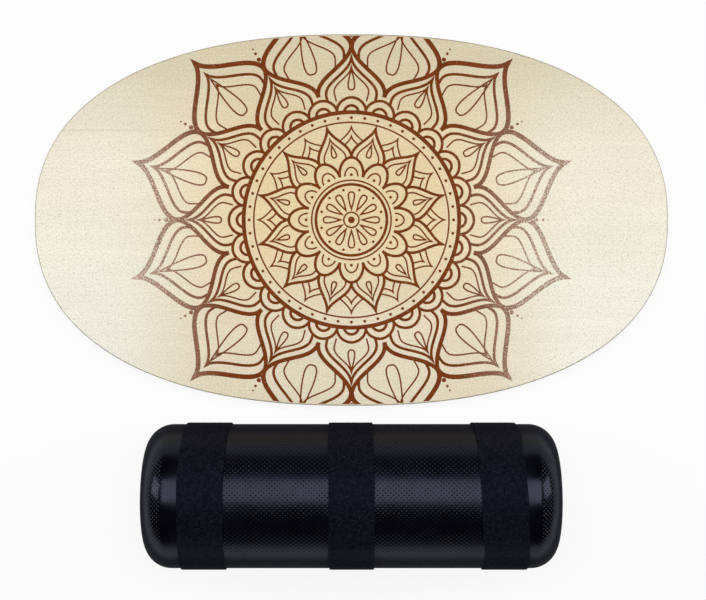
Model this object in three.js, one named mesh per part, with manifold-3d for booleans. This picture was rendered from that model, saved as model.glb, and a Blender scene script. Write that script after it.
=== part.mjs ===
// A rola bola: an oval plywood deck with a wooden stop under each end, and the loose hollow roller that it
// balances on. Both lie on the floor side by side, the roller along the deck's long side.
// Millimetres, +Z up. X runs along the deck, and the floor is z = 0 under the middle of the pair.
import * as THREE from "three";
import { mergeVertices } from "three/addons/utils/BufferGeometryUtils.js";
import Module from "manifold-3d";

const wasm = await Module();
wasm.setup();

// Fits
const fitGap = 0.3;
const cutOverrun = 2;
const weldTolerance = 0.0001;

// Deck
const deckLength = 750;
const deckWidth = 440;
const deckOutlinePower = 2.32;
const deckOutlineSteps = 96;
const deckEdgeRound = 2;
const deckEdgeSteps = 4;
const plyThickness = 1.6;

// Wooden stops under the deck's ends
const stopLength = 200;
const stopWidth = 28;
const stopHeight = 12;
const stopSetback = 72;
const stopCornerRadius = 8;
const stopCornerSteps = 5;
const stopChamfer = 2;

// Countersunk screws that hold the stops
const screwsPerStop = 4;
const screwEndMargin = 22;
const screwLength = 18;
const screwSink = 1;
const screwHeadDiameter = 7.6;
const screwHeadRim = 0.5;
const screwShankDiameter = 3;
const screwShankLength = 3;
const screwThreadDiameter = 3.9;
const screwThreadPitch = 1.8;
const screwTipLength = 4;
const screwSides = 10;
const screwSlotLength = 4.2;
const screwSlotWidth = 1;
const screwSlotDepth = 1.8;

// Hollow moulded roller
const rollerLength = 464;
const rollerDiameter = 162;
const rollerWall = 5;
const rollerCornerRadius = 30;
const rollerSides = 60;
const rollerCornerSteps = 6;
const rollerInnerCornerSteps = 4;
const dishRadius = 40;
const dishDepth = 4;
const dishSlope = 5;
const ventDiameter = 18;

// Snap-in plug of the vent
const plugFlangeWidth = 3;
const plugFlangeThickness = 2.5;
const plugFlangeRound = 1;
const plugBarbWidth = 0.8;
const plugBarbLength = 1.5;
const plugNoseLength = 3;
const plugNoseTaper = 2;

// Fabric straps round the roller
const strapWidth = 50;
const strapThickness = 1.5;
const strapSpacing = 164;
const strapLapLength = 40;
const strapLapRamp = 8;
const middleLapDegrees = 62;
const sideLapDegrees = -115;

// Layout of the pair on the floor
const rollerClearance = 14.4;

// Worked out from the sizes above
const fullTurn = 2 * Math.PI;
const quarterTurn = Math.PI / 2;
const rollerRadius = rollerDiameter / 2;
const strapInnerRadius = rollerRadius + fitGap;
const strapOuterRadius = strapInnerRadius + strapThickness;
const pairDepth = deckWidth + rollerClearance + 2 * strapOuterRadius;
const deckCentreY = pairDepth / 2 - deckWidth / 2;
const rollerAxisY = strapOuterRadius - pairDepth / 2;
const rollerAxisZ = strapOuterRadius;
const dishFloorX = rollerLength / 2 - dishDepth;
const ventRadius = ventDiameter / 2;
// The drum's facets touch its true circles, so that it stands on a flat and its radii are real on the flats.
const facetShare = 1 / Math.cos(Math.PI / rollerSides);

const plyNames = [
  "back_veneer",
  "cross_ply_lower",
  "long_ply_lower",
  "core_ply",
  "long_ply_upper",
  "cross_ply_upper",
  "face_veneer",
];
const deckTop = stopHeight + plyNames.length * plyThickness;

const finishes = {
  veneer: { color: 0xecd8ae, roughness: 0.45, metalness: 0 },
  longPly: { color: 0xe0c79a, roughness: 0.7, metalness: 0 },
  crossPly: { color: 0xc9a877, roughness: 0.75, metalness: 0 },
  stopWood: { color: 0xd9bb8b, roughness: 0.6, metalness: 0 },
  zinc: { color: 0xb8b9b6, roughness: 0.35, metalness: 1 },
  moulding: { color: 0x0b0b0f, roughness: 0.35, metalness: 0 },
  plug: { color: 0x101013, roughness: 0.5, metalness: 0 },
  strapFabric: { color: 0x16171f, roughness: 0.95, metalness: 0 },
};

// Joins vertices that share a place and drops the triangles that this closes up.
function welded(geometry) {
  const bare = geometry.clone();
  bare.deleteAttribute("normal");
  bare.deleteAttribute("uv");
  const merged = mergeVertices(bare, weldTolerance);
  const corners = merged.getIndex().array;
  const kept = [];
  for (let i = 0; i < corners.length; i += 3) {
    const [a, b, c] = [corners[i], corners[i + 1], corners[i + 2]];
    if (a !== b && b !== c && c !== a) kept.push(a, b, c);
  }
  merged.setIndex(kept);
  return merged;
}

function solidOf(geometry) {
  const closed = welded(geometry);
  const vertProperties = Float32Array.from(closed.getAttribute("position").array);
  const triVerts = Uint32Array.from(closed.getIndex().array);
  return new wasm.Manifold(new wasm.Mesh({ numProp: 3, vertProperties, triVerts }));
}

function geometryOf(solid) {
  const { vertProperties, triVerts } = solid.getMesh();
  const geometry = new THREE.BufferGeometry();
  geometry.setAttribute("position", new THREE.BufferAttribute(vertProperties, 3));
  geometry.setIndex(new THREE.BufferAttribute(triVerts, 1));
  return geometry;
}

// The geometry less every cutter that reaches it.
function cutBy(geometry, cutters) {
  let solid = solidOf(geometry);
  for (const cutter of cutters) solid = solid.subtract(solidOf(cutter));
  return geometryOf(solid);
}

// A closed body through convex outlines, each [[x, y], ...] at its height, from the lowest up.
function loft(levels) {
  const positions = [];
  for (const { outline, z } of levels) {
    for (const [x, y] of outline) positions.push(x, y, z);
  }
  const count = levels[0].outline.length;
  const triangles = [];
  for (let level = 0; level + 1 < levels.length; level += 1) {
    for (let i = 0; i < count; i += 1) {
      const low = level * count + i;
      const lowNext = level * count + ((i + 1) % count);
      triangles.push(low, lowNext, lowNext + count);
      triangles.push(low, lowNext + count, low + count);
    }
  }
  const top = (levels.length - 1) * count;
  for (let i = 1; i + 1 < count; i += 1) {
    triangles.push(0, i + 1, i);
    triangles.push(top, top + i, top + i + 1);
  }
  const geometry = new THREE.BufferGeometry();
  geometry.setAttribute("position", new THREE.Float32BufferAttribute(positions, 3));
  geometry.setIndex(triangles);
  return geometry;
}

// A closed body of revolution about Z from [radius, height] points, which run anticlockwise.
function turnedAboutZ(profile, sides) {
  const points = profile.map(([radius, height]) => new THREE.Vector2(radius, height));
  return new THREE.LatheGeometry(points, sides, Math.PI / sides).rotateX(quarterTurn);
}

// The same about X, its heights running along +X.
function turnedAboutX(profile, sides) {
  const points = profile.map(([radius, height]) => new THREE.Vector2(radius, height));
  return new THREE.LatheGeometry(points, sides, Math.PI / sides).rotateZ(-quarterTurn);
}

// Points of an arc, with both its ends.
function arc(centre, radius, fromAngle, toAngle, steps) {
  const points = [];
  for (let i = 0; i <= steps; i += 1) {
    const angle = fromAngle + ((toAngle - fromAngle) * i) / steps;
    points.push([centre[0] + radius * Math.cos(angle), centre[1] + radius * Math.sin(angle)]);
  }
  return points;
}

// The deck's outline, a superellipse, drawn in by an inset square to its edge.
function deckOutline(inset) {
  const halfLength = deckLength / 2;
  const halfWidth = deckWidth / 2;
  const outline = [];
  for (let i = 0; i < deckOutlineSteps; i += 1) {
    const angle = (fullTurn * i) / deckOutlineSteps;
    const cosine = Math.abs(Math.cos(angle)) ** deckOutlinePower;
    const sine = Math.abs(Math.sin(angle)) ** deckOutlinePower;
    const reachShare = (cosine + sine) ** (-1 / deckOutlinePower);
    const alongShare = reachShare * Math.cos(angle);
    const acrossShare = reachShare * Math.sin(angle);
    const normalX = (Math.sign(alongShare) * Math.abs(alongShare) ** (deckOutlinePower - 1)) / halfLength;
    const normalY = (Math.sign(acrossShare) * Math.abs(acrossShare) ** (deckOutlinePower - 1)) / halfWidth;
    const normalLength = Math.hypot(normalX, normalY);
    const x = halfLength * alongShare - (inset * normalX) / normalLength;
    const y = halfWidth * acrossShare - (inset * normalY) / normalLength;
    outline.push([x, deckCentreY + y]);
  }
  return outline;
}

// How far the rounded edge draws the deck's outline in at a height.
function deckInsetAt(z) {
  const round = Math.min(deckEdgeRound, (deckTop - stopHeight) / 2);
  const depth = Math.min(z - stopHeight, deckTop - z);
  const rise = Math.max(round - depth, 0);
  return round - Math.sqrt(Math.max(round * round - rise * rise, 0));
}

// One ply, with the levels that the deck's rounded edges need inside it.
function plyBody(layer) {
  const bottom = stopHeight + layer * plyThickness;
  const top = stopHeight + (layer + 1) * plyThickness;
  const round = Math.min(deckEdgeRound, (deckTop - stopHeight) / 2);
  const heights = [bottom];
  for (let i = 1; i < deckEdgeSteps; i += 1) {
    const rise = round * Math.sin((quarterTurn * i) / deckEdgeSteps);
    for (const z of [stopHeight + round - rise, deckTop - round + rise]) {
      if (z > bottom + weldTolerance && z < top - weldTolerance) heights.push(z);
    }
  }
  heights.push(top);
  heights.sort((a, b) => a - b);
  return loft(heights.map((z) => ({ outline: deckOutline(deckInsetAt(z)), z })));
}

// A bar's outline along Y with round corners, drawn in by an inset.
function barOutline(centreX, inset) {
  const radius = Math.max(Math.min(stopCornerRadius, stopWidth / 2) - inset, weldTolerance);
  const reachX = stopWidth / 2 - inset - radius;
  const reachY = stopLength / 2 - inset - radius;
  const corners = [
    [reachX, reachY],
    [-reachX, reachY],
    [-reachX, -reachY],
    [reachX, -reachY],
  ];
  return corners.flatMap(([x, y], i) => {
    const centre = [centreX + x, deckCentreY + y];
    return arc(centre, radius, quarterTurn * i, quarterTurn * (i + 1), stopCornerSteps);
  });
}

function stopBody(side) {
  const centreX = side * (deckLength / 2 - stopSetback);
  return loft([
    { outline: barOutline(centreX, stopChamfer), z: 0 },
    { outline: barOutline(centreX, 0), z: stopChamfer },
    { outline: barOutline(centreX, 0), z: stopHeight },
  ]);
}

// Where the screws of one stop stand on the floor plan.
function screwPlaces(side) {
  const span = stopLength - 2 * screwEndMargin;
  const places = [];
  for (let i = 0; i < screwsPerStop; i += 1) {
    const alongShare = i / (screwsPerStop - 1) - 0.5;
    places.push([side * (deckLength / 2 - stopSetback), deckCentreY + span * alongShare]);
  }
  return places;
}

// A countersunk wood screw, head down, its head's face at height 0 and its thread as rings.
function screwBody() {
  const headRadius = screwHeadDiameter / 2;
  const shankRadius = screwShankDiameter / 2;
  const threadRadius = screwThreadDiameter / 2;
  const coneEnd = screwHeadRim + headRadius - shankRadius;
  const threadStart = coneEnd + screwShankLength;
  const tipStart = screwLength - screwTipLength;
  const profile = [
    [0, 0],
    [headRadius, 0],
    [headRadius, screwHeadRim],
    [shankRadius, coneEnd],
  ];
  const rings = Math.max(Math.floor((tipStart - threadStart) / screwThreadPitch), 1);
  const pitch = (tipStart - threadStart) / rings;
  for (let i = 0; i < rings; i += 1) {
    profile.push([shankRadius, threadStart + pitch * i]);
    profile.push([threadRadius, threadStart + pitch * (i + 0.5)]);
  }
  profile.push([shankRadius, tipStart], [0, screwLength]);
  const slotHeight = screwSlotDepth + cutOverrun;
  const slotMiddle = screwSlotDepth - slotHeight / 2;
  const slots = [
    new THREE.BoxGeometry(screwSlotLength, screwSlotWidth, slotHeight).translate(0, 0, slotMiddle),
    new THREE.BoxGeometry(screwSlotWidth, screwSlotLength, slotHeight).translate(0, 0, slotMiddle),
  ];
  return cutBy(turnedAboutZ(profile, screwSides), slots);
}

// The room that a screw takes out of the stop and the plies, with its countersink open to the sole.
function screwHole() {
  const sinkRadius = screwHeadDiameter / 2 + fitGap;
  const holeRadius = screwThreadDiameter / 2 + fitGap;
  const profile = [
    [0, -screwSink - cutOverrun],
    [sinkRadius, -screwSink - cutOverrun],
    [sinkRadius, screwHeadRim],
    [holeRadius, screwHeadRim + sinkRadius - holeRadius],
    [holeRadius, screwLength - screwTipLength + fitGap],
    [0, screwLength + fitGap + fitGap],
  ];
  return turnedAboutZ(profile, screwSides);
}

// The drum's wall: round shoulders, a shallow dish in each end, and a vent in the +X end.
function rollerShellBody() {
  const half = rollerLength / 2;
  const corner = rollerCornerRadius;
  const shoulder = rollerRadius - corner;
  const innerHalf = half - rollerWall;
  const innerDish = dishFloorX - rollerWall;
  const innerCorner = corner - rollerWall;
  const lowerOuter = arc([shoulder, corner - half], corner, -quarterTurn, 0, rollerCornerSteps);
  const upperOuter = arc([shoulder, half - corner], corner, 0, quarterTurn, rollerCornerSteps);
  const upperInner = arc([shoulder, half - corner], innerCorner, quarterTurn, 0, rollerInnerCornerSteps);
  const lowerInner = arc([shoulder, corner - half], innerCorner, 0, -quarterTurn, rollerInnerCornerSteps);
  const profile = [
    [0, -dishFloorX],
    [dishRadius, -dishFloorX],
    [dishRadius + dishSlope, -half],
    ...lowerOuter,
    ...upperOuter,
    [dishRadius + dishSlope, half],
    [dishRadius, dishFloorX],
    [ventRadius, dishFloorX],
    [ventRadius, innerDish],
    [dishRadius, innerDish],
    [dishRadius + dishSlope, innerHalf],
    ...upperInner,
    ...lowerInner,
    [dishRadius + dishSlope, -innerHalf],
    [dishRadius, -innerDish],
    [0, -innerDish],
  ];
  const widened = profile.map(([radius, x]) => [radius * facetShare, x]);
  return turnedAboutX(widened, rollerSides);
}

// The vent's plug: a round flange over the dish, a stem through the wall and a barb behind it.
function ventPlugBody() {
  const stemRadius = ventRadius - fitGap;
  const flangeRadius = ventRadius + plugFlangeWidth;
  const barbRadius = ventRadius + plugBarbWidth;
  const seat = fitGap;
  const face = seat + plugFlangeThickness;
  const barbTop = -rollerWall - fitGap;
  const noseTop = barbTop - plugBarbLength;
  const noseEnd = noseTop - plugNoseLength;
  const profile = [
    [0, noseEnd],
    [stemRadius - plugNoseTaper, noseEnd],
    [barbRadius, noseTop],
    [barbRadius, barbTop],
    [stemRadius, barbTop],
    [stemRadius, seat],
    [flangeRadius, seat],
    [flangeRadius, face - plugFlangeRound],
    [flangeRadius - plugFlangeRound, face],
    [0, face],
  ];
  return turnedAboutX(profile, rollerSides / 2);
}

// A strap: one band round the drum whose outer end laps over its start. Its end's direction is measured
// from straight up towards -Y, and the lap lies behind that end.
function strapBody(lapDegrees) {
  const step = fullTurn / rollerSides;
  const lapEnd = THREE.MathUtils.degToRad(lapDegrees);
  const lapStart = lapEnd - strapLapLength / strapOuterRadius;
  const rampStart = lapStart - strapLapRamp / strapOuterRadius;
  const place = (radius, angle) => new THREE.Vector2(-radius * Math.sin(angle), radius * Math.cos(angle));
  // A facet's own distance from the axis along a direction keeps every added point on the flats.
  const flat = (radius, angle) => {
    const offFlat = angle - step * Math.round(angle / step);
    return radius / Math.cos(offFlat);
  };
  const outer = [];
  const firstCorner = Math.ceil(lapEnd / step - 0.5) + 0.5;
  for (let i = 0; i < rollerSides; i += 1) {
    const angle = (firstCorner + i) * step;
    if (angle > rampStart + fullTurn) break;
    outer.push(place(flat(strapOuterRadius, angle), angle));
  }
  outer.push(place(flat(strapOuterRadius, rampStart), rampStart));
  const lapRadius = strapOuterRadius + strapThickness;
  outer.push(place(flat(lapRadius, lapStart), lapStart));
  for (let i = Math.ceil(lapStart / step - 0.5) + 0.5; i * step < lapEnd; i += 1) {
    outer.push(place(flat(lapRadius, i * step), i * step));
  }
  outer.push(place(flat(lapRadius, lapEnd), lapEnd));
  outer.push(place(flat(strapOuterRadius, lapEnd), lapEnd));
  const inner = [];
  for (let i = 0; i < rollerSides; i += 1) {
    const angle = (i + 0.5) * step;
    inner.push(place(flat(strapInnerRadius, angle), angle));
  }
  const section = new THREE.Shape(outer);
  section.holes.push(new THREE.Path(inner));
  const band = new THREE.ExtrudeGeometry(section, { depth: strapWidth, bevelEnabled: false });
  band.translate(0, 0, -strapWidth / 2);
  const acrossToY = new THREE.Vector3(0, 1, 0);
  const upToZ = new THREE.Vector3(0, 0, 1);
  const alongToX = new THREE.Vector3(1, 0, 0);
  return band.applyMatrix4(new THREE.Matrix4().makeBasis(acrossToY, upToZ, alongToX));
}

function piece(name, geometry, finish) {
  const shown = welded(geometry);
  shown.computeVertexNormals();
  const mesh = new THREE.Mesh(shown, new THREE.MeshStandardMaterial(finishes[finish]));
  mesh.name = name;
  return mesh;
}

const sides = [
  { label: "left", side: -1 },
  { label: "right", side: 1 },
];
const allScrewPlaces = sides.flatMap(({ side }) => screwPlaces(side));
const holes = allScrewPlaces.map(([x, y]) => screwHole().translate(x, y, screwSink));

function buildDeck() {
  const deck = new THREE.Group();
  const holeTop = screwSink + screwLength + fitGap + fitGap;
  plyNames.forEach((name, layer) => {
    const bottom = stopHeight + layer * plyThickness;
    const body = plyBody(layer);
    let finish = layer % 2 === 1 ? "crossPly" : "longPly";
    if (name.endsWith("veneer")) finish = "veneer";
    deck.add(piece(name, bottom < holeTop ? cutBy(body, holes) : body, finish));
  });
  for (const { label, side } of sides) {
    deck.add(piece(`end_stop_${label}`, cutBy(stopBody(side), holes), "stopWood"));
    screwPlaces(side).forEach(([x, y], i) => {
      const screw = piece(`stop_screw_${label}_${i + 1}`, screwBody(), "zinc");
      screw.position.set(x, y, screwSink);
      deck.add(screw);
    });
  }
  return deck;
}

function buildRoller() {
  const roller = new THREE.Group();
  roller.position.set(0, rollerAxisY, rollerAxisZ);
  roller.add(piece("roller_shell", rollerShellBody(), "moulding"));
  const plug = piece("vent_plug", ventPlugBody(), "plug");
  plug.position.x = dishFloorX;
  roller.add(plug);
  const straps = [
    { label: "left", x: -strapSpacing, lapDegrees: sideLapDegrees },
    { label: "middle", x: 0, lapDegrees: middleLapDegrees },
    { label: "right", x: strapSpacing, lapDegrees: sideLapDegrees },
  ];
  for (const { label, x, lapDegrees } of straps) {
    const strap = piece(`strap_${label}`, strapBody(lapDegrees), "strapFabric");
    strap.position.x = x;
    roller.add(strap);
  }
  return roller;
}

const rolaBola = new THREE.Group();
rolaBola.add(buildDeck(), buildRoller());
export default rolaBola;
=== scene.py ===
"""A rola bola as it lies on a pale studio floor: an oval plywood deck with a printed flower ornament and a
wooden stop under each end, and beside it the hollow black roller with three fabric straps."""

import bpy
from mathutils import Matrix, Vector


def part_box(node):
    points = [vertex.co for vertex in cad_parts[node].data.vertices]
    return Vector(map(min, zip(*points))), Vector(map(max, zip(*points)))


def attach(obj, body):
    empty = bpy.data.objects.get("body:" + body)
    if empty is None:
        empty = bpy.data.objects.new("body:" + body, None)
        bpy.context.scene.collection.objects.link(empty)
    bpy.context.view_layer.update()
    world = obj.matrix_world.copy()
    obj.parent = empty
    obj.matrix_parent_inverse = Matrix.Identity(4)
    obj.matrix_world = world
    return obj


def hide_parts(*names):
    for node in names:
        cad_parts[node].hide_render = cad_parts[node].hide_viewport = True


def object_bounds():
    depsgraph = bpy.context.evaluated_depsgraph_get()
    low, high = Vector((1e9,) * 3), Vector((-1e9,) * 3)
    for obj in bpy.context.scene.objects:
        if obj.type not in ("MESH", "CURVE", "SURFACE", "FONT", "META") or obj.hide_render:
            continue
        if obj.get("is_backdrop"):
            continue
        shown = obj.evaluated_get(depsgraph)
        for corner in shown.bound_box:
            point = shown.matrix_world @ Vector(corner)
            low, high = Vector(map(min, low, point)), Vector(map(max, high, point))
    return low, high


bl_info = {
    "name": "Rola Bola",
    "version": (1, 0, 0),
    "blender": (4, 5, 0),
    "location": "3D View > Sidebar > Rola Bola",
    "description": "Builds an oval balance deck with a printed ornament and the strapped roller for it",
    "category": "Object",
}

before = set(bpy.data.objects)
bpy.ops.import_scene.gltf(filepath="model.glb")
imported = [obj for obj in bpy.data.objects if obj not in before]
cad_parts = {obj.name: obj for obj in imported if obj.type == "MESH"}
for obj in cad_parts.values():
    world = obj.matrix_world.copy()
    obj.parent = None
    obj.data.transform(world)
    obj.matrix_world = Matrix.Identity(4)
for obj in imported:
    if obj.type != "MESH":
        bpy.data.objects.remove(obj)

import math

import bmesh
import bpy
import numpy as np
from bpy.props import FloatProperty, FloatVectorProperty, IntProperty, PointerProperty
from mathutils import Vector
from mathutils.geometry import delaunay_2d_cdt

MM = 0.001
FULL_TURN = 2 * math.pi
QUARTER_TURN = math.pi / 2
SHARP_DEGREES = 32
WHITE = (1, 1, 1)

cad_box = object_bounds()
deck_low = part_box("back_veneer")[0]
deck_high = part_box("face_veneer")[1]
deck_centre = (deck_low + deck_high) / 2
deck_half = (deck_high - deck_low) / 2
shell_low, shell_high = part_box("roller_shell")
roller_centre = (shell_low + shell_high) / 2
shell_radius = (shell_high.z - shell_low.z) / 2
strap_radius = roller_centre.z
plug_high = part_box("vent_plug")[1]


def linear(red, green, blue):
    """A colour that is written as screen values from 0 to 255, as the linear colour that shaders take."""
    shares = (red / 255, green / 255, blue / 255)
    return tuple(s / 12.92 if s <= 0.04045 else ((s + 0.055) / 1.055) ** 2.4 for s in shares)


def colour_setting(name, description, default):
    return FloatVectorProperty(
        name=name, description=description, default=default, size=3, min=0, max=1, subtype="COLOR"
    )


def number_setting(name, description, default, **limits):
    return FloatProperty(name=name, description=description, default=default, **{"min": 0, **limits})


def length_setting(name, description, default):
    return number_setting(name, description, default, precision=5, unit="LENGTH")


class DeckSettings(bpy.types.PropertyGroup):
    """Sizes and colours of the plywood deck and what is printed on it."""

    outline_power: number_setting(
        "Outline power", "Fullness of the oval: 2 is an ellipse", 2.32, min=1.5, max=6
    )
    outline_steps: IntProperty(
        name="Outline steps", description="Points round the deck's outline", default=480, min=96, max=960
    )
    edge_round: length_setting("Edge round", "Radius that the deck's edges are sanded to", 2 * MM)
    ink_film: length_setting("Ink film", "How far the printed ink stands on the veneer", 0.05 * MM)
    fine_line: length_setting("Fine line", "Width of the ornament's finest lines", 1.9 * MM)
    middle_line: length_setting("Middle line", "Width of the lines in and round its inner petals", 3.3 * MM)
    strong_line: length_setting("Strong line", "Width of the lines round its outer petals", 4.8 * MM)
    bold_line: length_setting("Bold line", "Width of the lines round its outermost petals", 5.6 * MM)
    veneer_middle: colour_setting("Veneer", "Veneer in the deck's middle", linear(231, 209, 164))
    veneer_far: colour_setting("Far veneer", "Veneer at the long edge off the roller", linear(214, 203, 173))
    veneer_near: colour_setting("Near veneer", "Veneer at the long edge by the roller", linear(228, 218, 194))
    # The two end tones are painted glare: paler than the wood, for the lamps' glare on the coat at the ends.
    veneer_end_glare: colour_setting("Veneer at the ends", "Veneer near the two ends", linear(242, 235, 217))
    veneer_pale_glare: colour_setting("Pale veneer", "Veneer at the ends by the roller", linear(243, 240, 227))
    ink: colour_setting("Ink", "Ink of the ornament", linear(115, 50, 0))
    # Painted glare: a paler ink for the ends, where the lamps' glare lies on the coat.
    ink_glare_tone: colour_setting("Ink in glare", "Ink near the ends, painted paler as glare", linear(164, 132, 114))
    # Painted shade: the darker rim stands in for the shading of the deck's rounded edge.
    rim_shade_colour: colour_setting("Rim shade", "Painted shade on the veneer's sanded rim", linear(128, 116, 92))
    long_ply: colour_setting("Long ply", "Plies with their grain along the deck", linear(224, 199, 154))
    cross_ply: colour_setting("Cross ply", "Plies with their grain across the deck", linear(190, 154, 106))
    stop_wood: colour_setting("Stop wood", "Solid wood of the end stops", linear(214, 178, 128))


class RollerSettings(bpy.types.PropertyGroup):
    """Sizes and colours of the hollow roller, its plug and its straps."""

    corner_radius: length_setting("Shoulder", "Radius of the roller's shoulders", 30 * MM)
    wall: length_setting("Wall", "Thickness of the moulded wall", 5 * MM)
    diamond_pitch: length_setting("Diamond pitch", "Spacing of the moulded diamonds along the roller", 5.7 * MM)
    diamond_rise: length_setting("Diamond rise", "Spacing of the moulded diamonds round the roller", 4.95 * MM)
    diamond_height: length_setting("Diamond height", "How far the moulded diamonds stand up", 0.2 * MM)
    moulding: colour_setting("Moulding", "Black moulding of the roller", linear(4, 4, 8))
    # Painted highlight: lighter tops of the shoulders' diamonds stand in for their glints.
    diamond_glint_colour: colour_setting("Diamond glint", "Painted glints on the tops of the shoulders' diamonds", linear(37, 39, 47))
    plug: colour_setting("Plug", "Black moulding of the plug", linear(17, 17, 20))
    strap_thickness: length_setting("Strap thickness", "Thickness of one layer of strap", 1.5 * MM)
    strap_lap: length_setting("Strap lap", "How far a strap's outer end runs over its inner one", 40 * MM)
    strap_fabric: colour_setting("Strap fabric", "Napped fabric of the straps", linear(12, 13, 17))
    zinc: colour_setting("Zinc", "Plating of the screws", linear(190, 192, 190))


class StageSettings(bpy.types.PropertyGroup):
    """Floor, lamps and camera round the pair."""

    floor_colour: colour_setting("Floor", "Pale plain floor", (0.88, 0.88, 0.88))
    floor_white: number_setting(
        "Floor white", "Share of plain white that the floor shows near the pair", 0.88, max=1, subtype="FACTOR"
    )
    ambient: number_setting("Ambient", "Strength of the even light from all round", 0.03)
    side_lamp: number_setting("Side lamps", "Power of each softbox beside the pair", 8.3, unit="POWER")
    top_lamp: number_setting("Top lamp", "Power of the panel above the roller", 25, unit="POWER")
    camera_height: length_setting("Camera height", "Height of the camera above the floor", 1.562)
    camera_lens: number_setting("Lens", "Focal length", 66.3, min=10, unit="CAMERA")


# Meshes

def band(first, first_count, second, second_count):
    """Faces between two closed rings of one mesh, either of which may be a single point."""
    count = max(first_count, second_count)
    faces = []
    for i in range(count):
        j = (i + 1) % count
        lower = (first + i % first_count, first + j % first_count)
        upper = (second + j % second_count, second + i % second_count)
        faces.append(tuple(dict.fromkeys(lower + upper)))
    return faces


def skin(rings):
    """Points and faces of a surface through closed rings, capped at both ends."""
    points, faces, starts = [], [], []
    for ring in rings:
        starts.append(len(points))
        points.extend(ring)
    for i in range(len(rings) - 1):
        faces.extend(band(starts[i], len(rings[i]), starts[i + 1], len(rings[i + 1])))
    for cap in (reversed(range(len(rings[0]))), range(starts[-1], len(points))):
        cap = tuple(cap)
        if len(cap) > 2:
            faces.append(cap)
    return points, faces


def mesh_piece(name, points, faces, sharp_degrees=SHARP_DEGREES):
    """A new object with a closed mesh, smooth but for the edges that bend sharply."""
    mesh = bpy.data.meshes.new(name)
    mesh.from_pydata([tuple(p) for p in points], [], faces)
    shape = bmesh.new()
    shape.from_mesh(mesh)
    bmesh.ops.recalc_face_normals(shape, faces=shape.faces)
    shape.to_mesh(mesh)
    shape.free()
    mesh.shade_smooth()
    mesh.set_sharp_from_angle(angle=math.radians(sharp_degrees))
    piece = bpy.data.objects.new(name, mesh)
    bpy.context.scene.collection.objects.link(piece)
    return piece


def dress(piece, material, body, nodes=(), slot=None):
    """Gives a piece its material, the body that it rides on and the CAD nodes that it stands for."""
    piece.data.materials.clear()
    piece.data.materials.append(material)
    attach(piece, body)
    if nodes:
        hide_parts(*nodes)


def polar(radius, angle, centre=(0, 0)):
    return centre[0] + radius * math.cos(angle), centre[1] + radius * math.sin(angle)


def angles_round(count, shifted=False):
    return [FULL_TURN * (i + (0.5 if shifted else 0)) / count for i in range(count)]


def circle(centre, radius, steps):
    return [polar(radius, angle, centre) for angle in angles_round(steps)]


def arc(centre, radius, start, end, steps):
    return [polar(radius, start + (end - start) * i / steps, centre) for i in range(steps + 1)]


def bezier(start, lead, follow, end, steps):
    points = []
    for i in range(steps + 1):
        t = i / steps
        weights = ((1 - t) ** 3, 3 * t * (1 - t) ** 2, 3 * t * t * (1 - t), t ** 3)
        corners = (start, lead, follow, end)
        points.append(tuple(sum(w * c[k] for w, c in zip(weights, corners)) for k in (0, 1)))
    return points


def turned(points, angle):
    cosine, sine = math.cos(angle), math.sin(angle)
    return [(cosine * u - sine * v, sine * u + cosine * v) for u, v in points]


def at_height(flat_points, z):
    return [(x, y, z) for x, y in flat_points]


def turned_rings(profile, steps):
    """Rings of a form turned about the roller's axis. Its profile holds pairs of radius and place along it."""
    rings = []
    for radius, x in profile:
        ring = circle((roller_centre.y, roller_centre.z), radius, steps if radius else 1)
        rings.append([(roller_centre.x + x, y, z) for y, z in ring])
    return rings


# Materials

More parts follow.
